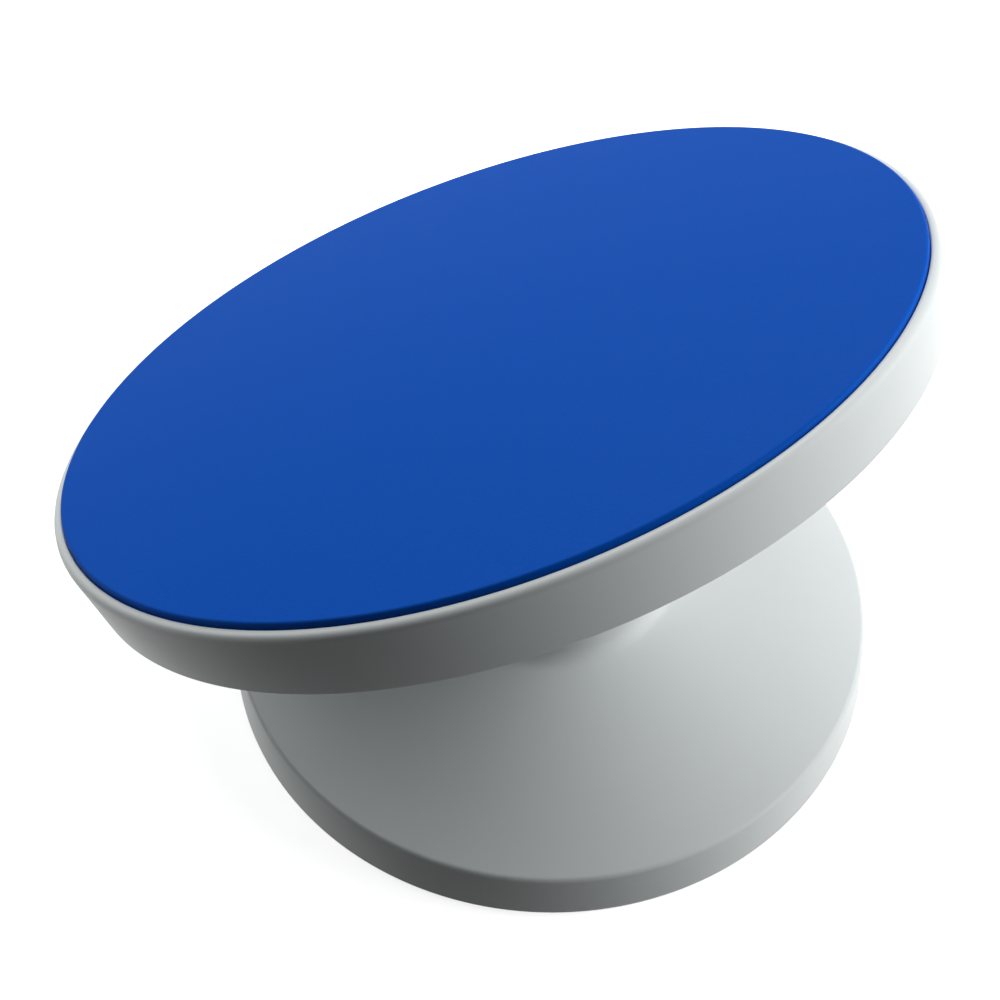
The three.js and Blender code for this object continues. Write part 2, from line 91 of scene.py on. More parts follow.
def settle(piece, smooth_below=35):
    """Leaves edit mode, moves the piece's place into its mesh and smooths its soft edges."""
    bpy.ops.object.mode_set(mode="OBJECT")
    deselect()
    piece.select_set(True)
    bpy.context.view_layer.objects.active = piece
    bpy.ops.object.transform_apply(location=True, rotation=True, scale=True)
    bpy.ops.object.shade_smooth_by_angle(angle=math.radians(smooth_below))


def soften_edges(piece, width, segments=2, sharper_than=40):
    """Rounds every edge that is sharper than the angle."""
    bpy.context.view_layer.objects.active = piece
    rounding = piece.modifiers.new("rounding", "BEVEL")
    rounding.width = width
    rounding.segments = segments
    rounding.limit_method = "ANGLE"
    rounding.angle_limit = math.radians(sharper_than)
    bpy.ops.object.modifier_apply(modifier=rounding.name)


def rubber_foot(name, node):
    """A disc as wide and high as its node, with a ring groove in its lower face."""
    low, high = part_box(node)
    middle = (low + high) / 2
    deselect()
    bpy.ops.mesh.primitive_cylinder_add(
        vertices=64, radius=(high.x - low.x) / 2, depth=high.z - low.z, location=middle)
    foot = named(name)
    pick_faces(lambda where, normal: normal.z < -0.9)
    bpy.ops.mesh.inset(thickness=foot_land)
    push(foot_groove_depth)
    bpy.ops.mesh.inset(thickness=foot_groove_width)
    push(-foot_groove_depth)
    settle(foot)
    soften_edges(foot, foot_edge_round, segments=3)
    settle(foot)
    return foot


def value_socket(group, direction, name, kind, default=None):
    """Adds a named input or output to a node group."""
    socket = group.interface.new_socket(name=name, in_out=direction, socket_type=kind)
    if default is not None:
        socket.default_value = default
    return socket


def make_surface_grain():
    """A group that gives a moulded or ground surface its fine grain, and slow, faint changes of
    colour and gloss. Sizes are in metres."""
    group = bpy.data.node_groups.new("surface_grain", "ShaderNodeTree")
    value_socket(group, "INPUT", "Tone", "NodeSocketColor", (0.8, 0.8, 0.8, 1))
    value_socket(group, "INPUT", "Tone Spread", "NodeSocketFloat", 0.03)
    value_socket(group, "INPUT", "Patch Size", "NodeSocketFloat", 0.03)
    value_socket(group, "INPUT", "Gloss", "NodeSocketFloat", 0.4)
    value_socket(group, "INPUT", "Gloss Spread", "NodeSocketFloat", 0.05)
    value_socket(group, "INPUT", "Grain Size", "NodeSocketFloat", 0.0006)
    value_socket(group, "INPUT", "Grain Depth", "NodeSocketFloat", 0.00002)
    value_socket(group, "OUTPUT", "Color", "NodeSocketColor")
    value_socket(group, "OUTPUT", "Roughness", "NodeSocketFloat")
    value_socket(group, "OUTPUT", "Normal", "NodeSocketVector")
    nodes, link = group.nodes, group.links.new
    given = nodes.new("NodeGroupInput")
    result = nodes.new("NodeGroupOutput")
    place = nodes.new("ShaderNodeTexCoord")

    def per_metre(socket):
        """One over a size, which is the scale of a noise with patches that big."""
        node = nodes.new("ShaderNodeMath")
        node.operation = "DIVIDE"
        node.inputs[0].default_value = 1
        link(given.outputs[socket], node.inputs[1])
        return node.outputs[0]

    patches = nodes.new("ShaderNodeTexNoise")
    patches.inputs["Detail"].default_value = 4
    link(place.outputs["Object"], patches.inputs["Vector"])
    link(per_metre("Patch Size"), patches.inputs["Scale"])
    grain = nodes.new("ShaderNodeTexNoise")
    grain.inputs["Detail"].default_value = 2
    link(place.outputs["Object"], grain.inputs["Vector"])
    link(per_metre("Grain Size"), grain.inputs["Scale"])

    def spread(amount, start):
        """A start value that swings by the amount, up and down, from patch to patch."""
        centred = nodes.new("ShaderNodeMath")
        centred.operation = "MULTIPLY_ADD"
        centred.inputs[1].default_value = 2
        centred.inputs[2].default_value = -1
        link(patches.outputs["Fac"], centred.inputs[0])
        swing = nodes.new("ShaderNodeMath")
        swing.operation = "MULTIPLY_ADD"
        link(centred.outputs[0], swing.inputs[0])
        link(given.outputs[amount], swing.inputs[1])
        if isinstance(start, str):
            link(given.outputs[start], swing.inputs[2])
        else:
            swing.inputs[2].default_value = start
        return swing.outputs[0]

    tone = nodes.new("ShaderNodeVectorMath")
    tone.operation = "SCALE"
    link(given.outputs["Tone"], tone.inputs[0])
    link(spread("Tone Spread", 1), tone.inputs["Scale"])
    link(tone.outputs[0], result.inputs["Color"])
    link(spread("Gloss Spread", "Gloss"), result.inputs["Roughness"])
    bump = nodes.new("ShaderNodeBump")
    bump.inputs["Strength"].default_value = 1
    link(grain.outputs["Fac"], bump.inputs["Height"])
    link(given.outputs["Grain Depth"], bump.inputs["Distance"])
    link(bump.outputs[0], result.inputs["Normal"])
    return group


surface_grain = make_surface_grain()


def finish_of(name, tone, gloss, metallic=0.0, specular=0.5, **grain):
    """A material whose colour, gloss and fine grain come from the surface_grain group."""
    material = bpy.data.materials.new(name)
    material.use_nodes = True
    nodes, link = material.node_tree.nodes, material.node_tree.links.new
    shader = nodes["Principled BSDF"]
    shader.inputs["Metallic"].default_value = metallic
    shader.inputs["Specular IOR Level"].default_value = specular
    surface = nodes.new("ShaderNodeGroup")
    surface.node_tree = surface_grain
    surface.inputs["Tone"].default_value = tone
    surface.inputs["Gloss"].default_value = gloss
    for key, value in grain.items():
        surface.inputs[key.replace("_", " ").title()].default_value = value
    link(surface.outputs["Color"], shader.inputs["Base Color"])
    link(surface.outputs["Roughness"], shader.inputs["Roughness"])
    link(surface.outputs["Normal"], shader.inputs["Normal"])
    return material


black_rubber = finish_of(
    "black_rubber", foot_black, 0.72, specular=0.35, tone_spread=0.15, patch_size=6 * mm,
    gloss_spread=0.08, grain_size=0.5 * mm, grain_depth=0.04 * mm)

foot_nodes = [f"rubber_foot_{number}" for number in range(1, edge_feet + 1)] + ["middle_foot"]
for node in foot_nodes:
    foot = rubber_foot("moulded_" + node, node)
    foot.data.materials.append(black_rubber)
    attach(foot, "base")
    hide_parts(node)


# ---------------------------------------------------------------------------------------------
# Bottom cover. A flat grey plastic disc that closes the base from below, moulded with a thicker
# middle that carries the tilt bracket, pockets for the feet and sunk holes for the screws.
cover_low, cover_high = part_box("bottom_cover")
cover_radius = cover_high.x
cover_under = cover_low.z
cover_thick = 2.5 * mm
cover_top = cover_under + cover_thick
cover_chamfer = 0.4 * mm
platform_radius = 38 * mm
platform_draft = 1 * mm
pocket_depth = 1.5 * mm
pocket_gap = 0.3 * mm
pocket_wall = 2.6 * mm
screw_head_gap = 0.4 * mm
cover_screw_count = 6
cover_screw_seat = 1.3 * mm
cover_screw_hole = 1.9 * mm
bracket_screw_count = 4
bracket_screw_seat = 3.3 * mm
bracket_screw_hole = 2.3 * mm
overrun = 1 * mm
cover_grey = (0.42, 0.44, 0.46, 1)


def turned(name, outline, steps=160):
    """Draws a closed (radius, height) outline point by point, and spins it about the Z axis."""
    deselect()
    first_radius, first_height = outline[0]
    bpy.ops.mesh.primitive_plane_add(size=1 * mm, location=(first_radius, 0, first_height))
    piece = named(name)
    bpy.ops.mesh.select_mode(type="VERT")
    bpy.ops.mesh.merge(type="CENTER")
    bpy.ops.object.mode_set(mode="OBJECT")
    bpy.ops.object.transform_apply(location=True)
    bpy.ops.object.mode_set(mode="EDIT")
    here = outline[0]
    for there in outline[1:] + outline[:1]:
        step = (there[0] - here[0], 0, there[1] - here[1])
        bpy.ops.mesh.extrude_region_move(TRANSFORM_OT_translate={"value": step})
        here = there
    bpy.ops.mesh.select_all(action="SELECT")
    bpy.ops.mesh.remove_doubles(threshold=0.001 * mm)
    bpy.ops.mesh.select_all(action="SELECT")
    bpy.ops.mesh.spin(steps=steps, angle=2 * math.pi, center=(0, 0, 0), axis=(0, 0, 1))
    bpy.ops.mesh.select_all(action="SELECT")
    bpy.ops.mesh.remove_doubles(threshold=0.001 * mm)
    bpy.ops.mesh.normals_make_consistent(inside=False)
    settle(piece)
    return piece


def joined(pieces):
    """Makes one object of several, without uniting their walls."""
    deselect()
    for piece in pieces:
        piece.select_set(True)
    bpy.context.view_layer.objects.active = pieces[0]
    if len(pieces) > 1:
        bpy.ops.object.join()
    return pieces[0]


def repeated_round(piece, count):
    """Copies of the piece round the Z axis, joined into one object with it."""
    copies = [piece]
    for number in range(1, count):
        twin = piece.copy()
        twin.data = piece.data.copy()
        bpy.context.collection.objects.link(twin)
        twin.rotation_euler.z = 2 * math.pi * number / count
        settle(twin)
        copies.append(twin)
    return joined(copies)


def combine(piece, tool, operation):
    """Unites the piece with a tool object, or cuts the tool's shape out of it."""
    deselect()
    bpy.context.view_layer.objects.active = piece
    change = piece.modifiers.new("combine", "BOOLEAN")
    change.operation = operation
    change.solver = "EXACT"
    change.object = tool
    bpy.ops.object.modifier_apply(modifier=change.name)
    bpy.data.objects.remove(tool)


def drum(name, radius, low, high, x=0.0, y=0.0, sides=48):
    """A plain cylinder from one height to another, used as a tool or as a boss."""
    deselect()
    bpy.ops.mesh.primitive_cylinder_add(
        vertices=sides, radius=radius, depth=high - low, location=(x, y, (low + high) / 2))
    piece = bpy.context.object
    piece.name = piece.data.name = name
    settle(piece)
    return piece


cover = turned("moulded_bottom_cover", [
    (0, cover_under), (cover_radius - cover_chamfer, cover_under),
    (cover_radius, cover_under + cover_chamfer),
    (cover_radius, cover_top), (platform_radius + platform_draft, cover_top),
    (platform_radius, cover_high.z), (0, cover_high.z)])

edge_foot_low, edge_foot_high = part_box("rubber_foot_1")
edge_foot_middle = (edge_foot_low + edge_foot_high) / 2
edge_foot_radius = (edge_foot_high.x - edge_foot_low.x) / 2
pocket_top = cover_under + pocket_depth
pocket_back_top = cover_top + 1 * mm
backs = drum(
    "pocket_backs", edge_foot_radius + pocket_wall, cover_under + 1 * mm, pocket_back_top,
    edge_foot_middle.x, edge_foot_middle.y)
combine(cover, repeated_round(backs, edge_feet), "UNION")
pockets = drum(
    "pockets", edge_foot_radius + pocket_gap, cover_under - overrun, pocket_top,
    edge_foot_middle.x, edge_foot_middle.y)
middle_foot_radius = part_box("middle_foot")[1].x
middle_pocket = drum(
    "middle_pocket", middle_foot_radius + pocket_gap, cover_under - overrun, pocket_top)
combine(cover, joined([repeated_round(pockets, edge_feet), middle_pocket]), "DIFFERENCE")


def sunk_hole(node, seat, shank_radius, top):
    """The room a sunk screw takes: a wide pocket for its head and a hole for its shank."""
    low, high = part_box(node)
    middle = (low + high) / 2
    head_radius = (high.y - low.y) / 2 + screw_head_gap
    below = cover_under - overrun
    hole = turned("hole_for_" + node, [
        (0, below), (head_radius, below), (head_radius, seat), (shank_radius, seat),
        (shank_radius, top), (0, top)], steps=32)
    hole.location = (middle.x, middle.y, 0)
    settle(hole)
    return hole


edge_hole = sunk_hole(
    "cover_screw_1", cover_under + cover_screw_seat, cover_screw_hole, cover_top + 2 * overrun)
combine(cover, repeated_round(edge_hole, cover_screw_count), "DIFFERENCE")
bracket_holes = [
    sunk_hole(
        f"bracket_screw_{number}", cover_under + bracket_screw_seat, bracket_screw_hole,
        cover_high.z + 2 * overrun)
    for number in range(1, bracket_screw_count + 1)]
combine(cover, joined(bracket_holes), "DIFFERENCE")
settle(cover, smooth_below=30)

grey_plastic = finish_of(
    "grey_plastic", cover_grey, 0.5, tone_spread=0.03, patch_size=25 * mm, gloss_spread=0.06,
    grain_size=0.7 * mm, grain_depth=0.03 * mm)
cover.data.materials.append(grey_plastic)
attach(cover, "base")
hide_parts("bottom_cover")


# ---------------------------------------------------------------------------------------------
# Screws in the cover. Zinc-plated steel with a domed head and a cross recess: six small ones
# hold the cover to the base, and four larger ones hold the tilt bracket on the cover.
zinc = (0.58, 0.59, 0.6, 1)
recess_width = 0.28
recess_length = 1.15
recess_depth = 0.45
head_edge_share = 0.25
head_steps = 6
point_share = 0.35
screw_turn = math.radians(17)


def cross_screw(name, node, head_height, shank_radius):
    """A screw with its head down, its shank up, and a cross recess in the head."""
    low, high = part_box(node)
    middle = (low + high) / 2
    radius = (high.y - low.y) / 2
    seat = low.z + head_height
    dome = [
        (radius * math.sin(turn),
         seat - head_height * (head_edge_share + (1 - head_edge_share) * math.cos(turn)))
        for turn in (math.radians(90 / head_steps * step) for step in range(head_steps + 1))]
    screw = turned(name, dome + [
        (radius, seat), (shank_radius, seat), (shank_radius, high.z - shank_radius),
        (shank_radius * point_share, high.z), (0, high.z)], steps=40)
    arms = []
    for x_share, y_share in ((recess_length, recess_width), (recess_width, recess_length)):
        deselect()
        bpy.ops.mesh.primitive_cube_add(
            size=1, location=(0, 0, low.z), scale=(
                radius * x_share, radius * y_share, 2 * head_height * recess_depth))
        arm = bpy.context.object
        settle(arm)
        arms.append(arm)
    combine(arms[0], arms[1], "UNION")
    combine(screw, arms[0], "DIFFERENCE")
    screw.location = (middle.x, middle.y, 0)
    screw.rotation_euler.z = screw_turn * (int(node[-1]) + 1)
    settle(screw, smooth_below=30)
    return screw


zinc_steel = finish_of(
    "zinc_steel", zinc, 0.34, metallic=1.0, tone_spread=0.1, patch_size=4 * mm, gloss_spread=0.1,
    grain_size=0.3 * mm, grain_depth=0.01 * mm)

screws = [
    ("cover_screw_", cover_screw_count, 1.0 * mm, 1.6 * mm),
    ("bracket_screw_", bracket_screw_count, 2.6 * mm, 2.0 * mm)]
for family, count, head_height, shank_radius in screws:
    for number in range(1, count + 1):
        node = f"{family}{number}"
        screw = cross_screw("steel_" + node, node, head_height, shank_radius)
        screw.data.materials.append(zinc_steel)
        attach(screw, "base")
        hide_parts(node)


# ---------------------------------------------------------------------------------------------
# Base shell. One white plastic moulding: a short band, a wide shallow cone and a round neck that
# the head tilts in. Screw bosses stand inside it, and its edges are softly rounded.
shell_low, shell_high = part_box("base_shell")
base_radius = shell_high.x
band_draft = 1.8 * mm
band_top = 21 * mm
shoulder_round = 2.4 * mm
neck_radius = 42.4 * mm
neck_foot = 46 * mm
neck_bore = 39.6 * mm
neck_fillet = 7 * mm
base_wall = 2.6 * mm
band_foot_round = 0.5 * mm
neck_draft = 0.6 * mm
neck_lip_round = 1.0 * mm
inner_lip_round = 0.4 * mm
inner_round = 1.0 * mm
bore_rise = 1.6 * mm
screw_boss_radius = 4.2 * mm
screw_boss_gap = 0.3 * mm
screw_boss_rise = 3.2 * mm
white = (0.775, 0.82, 0.815, 1)


def rounded(outline, steps=6):
    """An outline whose corners given as (radius, height, round) are turned into arcs."""
    points = []
    for index, corner in enumerate(outline):
        here = Vector(corner[:2])
        size = corner[2] if len(corner) > 2 else 0
        if not size:
            points.append(tuple(here))
            continue
        back = (Vector(outline[index - 1][:2]) - here).normalized()
        ahead = (Vector(outline[(index + 1) % len(outline)][:2]) - here).normalized()
        half = back.angle(ahead) / 2
        centre = here + (back + ahead).normalized() * (size / math.sin(half))
        start = here + back * (size / math.tan(half)) - centre
        end = here + ahead * (size / math.tan(half)) - centre
        sweep = start.angle_signed(end)
        for step in range(steps + 1):
            turn = -sweep * step / steps
            points.append(tuple(centre + Matrix.Rotation(turn, 2) @ start))
    return points


rise = (neck_foot - band_top) / (base_radius - band_draft - neck_radius)
drop = base_wall * math.hypot(1, rise)
shell = turned("moulded_base_shell", rounded([
    (base_radius, shell_low.z, band_foot_round),
    (base_radius - band_draft, band_top, shoulder_round),
    (neck_radius, neck_foot, neck_fillet),
    (neck_radius - neck_draft, shell_high.z, neck_lip_round),
    (neck_bore, shell_high.z, inner_lip_round),
    (neck_bore, neck_foot - drop + bore_rise, inner_round),
    (base_radius - band_draft - base_wall, band_top - drop, inner_round),
    (base_radius - base_wall, shell_low.z, inner_lip_round)]), steps=192)

screw_low, screw_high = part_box("cover_screw_1")
screw_middle = (screw_low + screw_high) / 2
boss = drum(
    "screw_bosses", screw_boss_radius, cover_top + screw_boss_gap, band_top + screw_boss_rise,
    screw_middle.x, screw_middle.y)
combine(shell, repeated_round(boss, cover_screw_count), "UNION")
boss_hole = drum(
    "screw_holes", cover_screw_hole, cover_top - overrun, screw_high.z + 2 * overrun,
    screw_middle.x, screw_middle.y)
combine(shell, repeated_round(boss_hole, cover_screw_count), "DIFFERENCE")
settle(shell, smooth_below=30)

white_plastic = finish_of(
    "white_plastic", white, 0.36, specular=0.16, tone_spread=0.015, patch_size=40 * mm,
    gloss_spread=0.05, grain_size=0.9 * mm, grain_depth=0.012 * mm)
shell.data.materials.append(white_plastic)
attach(shell, "base")
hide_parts("base_shell")


# ---------------------------------------------------------------------------------------------
# Tilt pivot. A folded steel bracket stands on the cover and carries a cross bolt, with its nut,
# a spring washer and two fibre washers that hold the head by friction at any tilt.
bright = (0.74, 0.75, 0.76, 1)
fibre_brown = (0.17, 0.11, 0.065, 1)

bright_steel = finish_of(
    "bright_steel", bright, 0.16, metallic=1.0, tone_spread=0.05, patch_size=8 * mm,
    gloss_spread=0.05, grain_size=0.2 * mm, grain_depth=0.003 * mm)
pressed_fibre = finish_of(
    "pressed_fibre", fibre_brown, 0.8, tone_spread=0.3, patch_size=2 * mm, gloss_spread=0.1,
    grain_size=0.4 * mm, grain_depth=0.05 * mm)

# The plate's axis crosses the tilt axis at this height.
plate_turns = next(joint for joint in frame["joints"] if joint["name"] == "spin")
tilt_axis_height = plate_turns["pos_m"][2]

hex_flats_to_corners = 1 / math.cos(math.pi / 6)
hex_corner_cut = 0.55
hex_face_share = 0.97
bolt_flats = 10 * mm
running_gap = 0.3 * mm
bolt_radius = 3 * mm
bolt_bore = bolt_radius + running_gap
bolt_head_high = 4 * mm
bolt_end_chamfer = 0.6 * mm
bolt_thread_pitch = 0.8 * mm
bolt_thread_depth = 0.25 * mm
bolt_thread_lead = 3 * mm
thread_crest = 0.25
thread_root = 0.6
cup_dish = 0.5 * mm
cup_edge = 0.2 * mm
cup_rim = 0.9 * mm
fibre_edge = 0.15 * mm


def coat(node, material):
    """Gives a CAD piece its material, in every slot."""
    for slot in frame["nodes"][node].material_slots:
        slot.material = material


def hexagon(name, flats, low, high):
    """A six-sided nut or bolt head with its corners turned off at both ends."""
    deselect()
    corners = flats / 2 * hex_flats_to_corners
    bpy.ops.mesh.primitive_cylinder_add(
        vertices=6, radius=corners, depth=high - low, location=(0, 0, (low + high) / 2),
        rotation=(0, 0, math.pi / 6))
    blank = bpy.context.object
    blank.name = blank.data.name = name
    settle(blank)
    turned_off = (corners - flats / 2) * hex_corner_cut
    face_radius = flats / 2 * hex_face_share
    lens = turned("corner_cut", [
        (0, low), (face_radius, low), (corners, low + turned_off), (corners, high - turned_off),
        (face_radius, high), (0, high)], steps=72)
    combine(blank, lens, "INTERSECT")
    return blank


def threaded(low, high, radius, pitch, depth):
    """Outline points of a thread, as rings, from one height up to another."""
    points = []
    for turn in range(int((high - low) / pitch)):
        start = low + turn * pitch
        points += [
            (radius, start), (radius, start + thread_crest * pitch),
            (radius - depth, start + thread_root * pitch)]
    return points + [(radius, high)]


def lay_across(piece):
    """Turns a piece that was drawn standing up so that it lies along the tilt axis."""
    piece.rotation_euler.x = -math.pi / 2
    piece.location.z = tilt_axis_height
    settle(piece, smooth_below=30)


def finish_piece(piece, node, body, material):
    """Gives a new piece its material and body, and lets it stand for its CAD piece."""
    piece.data.materials.clear()
    piece.data.materials.append(material)
    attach(piece, body)
    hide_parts(node)


def flat_ring(name, inner, outer, low, high, edge):
    """A washer or bush between two heights, with its four edges rounded."""
    outline = [(inner, low, edge), (outer, low, edge), (outer, high, edge), (inner, high, edge)]
    return turned(name, rounded(outline, steps=2), steps=72)


coat("pivot_bracket", zinc_steel)

bolt_low, bolt_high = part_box("pivot_bolt")
nut_low, nut_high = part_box("pivot_nut")
bolt = hexagon("steel_pivot_bolt", bolt_flats, bolt_low.y, bolt_low.y + bolt_head_high)
thread_start = nut_low.y - bolt_thread_lead
thread_end = bolt_high.y - bolt_end_chamfer
shank = turned("bolt_shank", [
    (0, bolt_low.y + bolt_head_high / 2), (bolt_radius, bolt_low.y + bolt_head_high / 2),
    *threaded(thread_start, thread_end, bolt_radius, bolt_thread_pitch, bolt_thread_depth),
    (bolt_radius - bolt_end_chamfer, bolt_high.y), (0, bolt_high.y)], steps=48)
combine(bolt, shank, "UNION")
lay_across(bolt)
finish_piece(bolt, "pivot_bolt", "base", zinc_steel)

nut = hexagon("steel_pivot_nut", bolt_flats, nut_low.y, nut_high.y)
nut_bore = drum("nut_bore", bolt_bore, nut_low.y - overrun, nut_high.y + overrun)
combine(nut, nut_bore, "DIFFERENCE")
lay_across(nut)
finish_piece(nut, "pivot_nut", "base", zinc_steel)

spring_low, spring_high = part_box("spring_washer")
cup = turned("spring_cup_washer", [
    (bolt_bore, spring_low.y + cup_dish), (2 * bolt_radius - cup_edge, spring_low.y),
    (2 * bolt_radius, spring_low.y + cup_edge), (2 * bolt_radius, spring_low.y + cup_rim),
    (bolt_bore + cup_edge, spring_high.y), (bolt_bore, spring_high.y - cup_edge)], steps=72)
lay_across(cup)
finish_piece(cup, "spring_washer", "base", bright_steel)

for number in (1, 2):
    washer_low, washer_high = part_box(f"friction_washer_{number}")
    washer = flat_ring(
        f"fibre_washer_{number}", bolt_bore, bolt_flats, washer_low.y, washer_high.y, fibre_edge)
    lay_across(washer)
    finish_piece(washer, f"friction_washer_{number}", "base", pressed_fibre)


# ---------------------------------------------------------------------------------------------
# Tilting head. One white plastic moulding that leans with the plate: a dome that fills the neck
# at every tilt, a stem, and a flange that the bearing lies on. Two ears inside take the bolt.
dome_radius = 39 * mm
dome_wall = 2.7 * mm
dome_end = math.radians(-25)
stem_radius = 22 * mm
stem_wall = 3.5 * mm
flange_radius = 46 * mm
flange_top = 51 * mm
flange_thick = 4 * mm
stem_fillet = 4 * mm
flange_round = 0.8 * mm
spindle_hole = 5.3 * mm
ear_thick = 4 * mm
ear_inner_face = 16.5 * mm
ear_middle = ear_inner_face + ear_thick / 2
ear_half = 10 * mm
ear_end = 6 * mm
ear_root = 1 * mm
stop_arm = 20 * mm
stop_hole = 2.3 * mm
cross_hole_half = 30 * mm
lean = math.atan2(-plate_turns["axis"][0], plate_turns["axis"][2])
level_to_leaning = Matrix.Translation((0, 0, tilt_axis_height)) @ Matrix.Rotation(-lean, 4, "Y")


def lean_over(piece, smooth_below=35):
    """Turns a piece that was drawn level about the tilt axis to the plate's lean."""
    piece.matrix_world = level_to_leaning @ piece.matrix_world
    settle(piece, smooth_below)


def dome_points(radius, start, end, steps):
    """Points on a round outline about the tilt axis, from one angle to another."""
    return [
        (radius * math.cos(turn), radius * math.sin(turn))
        for turn in (start + (end - start) * step / steps for step in range(steps + 1))]


stem_inner = stem_radius - stem_wall
dome_inner = dome_radius - dome_wall
flange_low = flange_top - flange_thick
inner_start = math.acos(stem_inner / dome_inner)
outer_end = math.acos(stem_radius / dome_radius)
head = turned("moulded_tilt_head", rounded([
    (spindle_hole, flange_top), (spindle_hole, flange_low), (stem_inner, flange_low),
    *dome_points(dome_inner, inner_start, dome_end, 28),
    *dome_points(dome_radius, dome_end, outer_end, 32),
    (stem_radius, flange_low, stem_fillet), (flange_radius, flange_low, flange_round),
    (flange_radius, flange_top, flange_round)]), steps=128)


def ear(name, middle):
    """A flat lug that hangs from the dome, narrowing to a round end under the stop pin."""
    deselect()
    bpy.ops.mesh.primitive_cylinder_add(
        vertices=64, radius=ear_end, depth=ear_thick, location=(0, middle, -stop_arm),
        rotation=(math.pi / 2, 0, 0))
    bpy.ops.object.transform_apply(location=True, rotation=True)
    lug = named(name)
    bpy.ops.mesh.select_all(action="SELECT")
    bpy.ops.mesh.bisect(
        plane_co=(0, 0, -stop_arm), plane_no=(0, 0, 1), clear_outer=True, use_fill=True)
    pick_faces(lambda where, normal: normal.z > 0.99)
    push(stop_arm)
    bpy.ops.transform.resize(value=(ear_half / ear_end, 1, 1), center_override=(0, 0, 0))
    push(dome_inner)
    settle(lug)
    return lug


def cross_drum(name, radius, half_length, height):
    """A cylinder along the Y axis, through the ears."""
    deselect()
    bpy.ops.mesh.primitive_cylinder_add(
        vertices=48, radius=radius, depth=2 * half_length, location=(0, 0, height),
        rotation=(math.pi / 2, 0, 0))
    tool = bpy.context.object
    tool.name = tool.data.name = name
    settle(tool)
    return tool


ears = joined([ear("near_ear", -ear_middle), ear("far_ear", ear_middle)])
deselect()
bpy.ops.mesh.primitive_uv_sphere_add(segments=96, ring_count=64, radius=dome_inner + ear_root)
combine(ears, bpy.context.object, "INTERSECT")
combine(head, ears, "UNION")
combine(head, cross_drum("bolt_hole", bolt_bore, cross_hole_half, 0), "DIFFERENCE")
combine(head, cross_drum("stop_hole", stop_hole, cross_hole_half, -stop_arm), "DIFFERENCE")
lean_over(head, smooth_below=30)
head.data.materials.append(white_plastic)
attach(head, "head")
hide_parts("tilt_head")


# ---------------------------------------------------------------------------------------------
# Spindle. A steel bolt whose six-sided head is held under the flange by a nut on top of it. The
# plate's bush turns on it, and a washer and a slotted screw in its end keep the plate down.
spindle_flats = 17 * mm
spindle_radius = 5 * mm
spindle_head_high = 4.5 * mm
spindle_end_chamfer = 0.4 * mm
spindle_thread_below = 1 * mm
spindle_thread_above = 6 * mm
spindle_thread_pitch = 1 * mm
spindle_thread_depth = 0.3 * mm
tapped_depth = 12 * mm
retainer_radius = 2.5 * mm
retainer_head_high = 3 * mm
retainer_head_round = 1.2 * mm
driver_slot_width = 1 * mm
driver_slot_depth = 1.2 * mm
pin_end_round = 0.6 * mm


def level_box(node):
    """Lowest and highest corner of a leaning CAD piece, as it lies when the plate is level,
    measured from the tilt axis."""
    back = level_to_leaning.inverted()
    points = [back @ vertex.co for vertex in frame["nodes"][node].data.vertices]
    low = Vector(min(point[axis] for point in points) for axis in range(3))
    high = Vector(max(point[axis] for point in points) for axis in range(3))
    return low, high


spindle_low, spindle_high = level_box("spindle")
spindle = hexagon("steel_spindle", spindle_flats, spindle_low.z, spindle_low.z + spindle_head_high)
shaft = turned("spindle_shaft", [
    (0, spindle_low.z + spindle_head_high / 2), (spindle_radius, spindle_low.z + spindle_head_high / 2),
    *threaded(flange_top - spindle_thread_below, flange_top + spindle_thread_above,
              spindle_radius, spindle_thread_pitch, spindle_thread_depth),
    (spindle_radius, spindle_high.z - spindle_end_chamfer),
    (spindle_radius - spindle_end_chamfer, spindle_high.z), (0, spindle_high.z)], steps=64)
combine(spindle, shaft, "UNION")
tapped = drum(
    "tapped_hole", retainer_radius + running_gap, spindle_high.z - tapped_depth,
    spindle_high.z + overrun)
combine(spindle, tapped, "DIFFERENCE")
lean_over(spindle, smooth_below=30)
finish_piece(spindle, "spindle", "head", zinc_steel)

nut_low, nut_high = level_box("spindle_nut")
nut = hexagon("steel_spindle_nut", spindle_flats, nut_low.z, nut_high.z)
nut_bore = drum(
    "nut_bore", spindle_radius + running_gap, nut_low.z - overrun, nut_high.z + overrun)
combine(nut, nut_bore, "DIFFERENCE")
lean_over(nut, smooth_below=30)
finish_piece(nut, "spindle_nut", "head", zinc_steel)

washer_low, washer_high = level_box("retaining_washer")
washer = flat_ring(
    "steel_retaining_washer", retainer_radius + running_gap, washer_high.x, washer_low.z,
    washer_high.z, edge=0.3 * mm)
lean_over(washer)
finish_piece(washer, "retaining_washer", "head", zinc_steel)

screw_low, screw_high = level_box("retaining_screw")
seat = screw_high.z - retainer_head_high
screw = turned("steel_retaining_screw", rounded([
    (0, screw_low.z), (retainer_radius * 0.7, screw_low.z), (retainer_radius, screw_low.z + 0.6 * mm),
    (retainer_radius, seat), (screw_high.x, seat, 0.2 * mm),
    (screw_high.x, screw_high.z, retainer_head_round), (0, screw_high.z)]), steps=48)
deselect()
bpy.ops.mesh.primitive_cube_add(
    size=1, location=(0, 0, screw_high.z),
    scale=(3 * screw_high.x, driver_slot_width, 2 * driver_slot_depth))
driver_slot = bpy.context.object
settle(driver_slot)
combine(screw, driver_slot, "DIFFERENCE")
lean_over(screw, smooth_below=30)
finish_piece(screw, "retaining_screw", "head", zinc_steel)

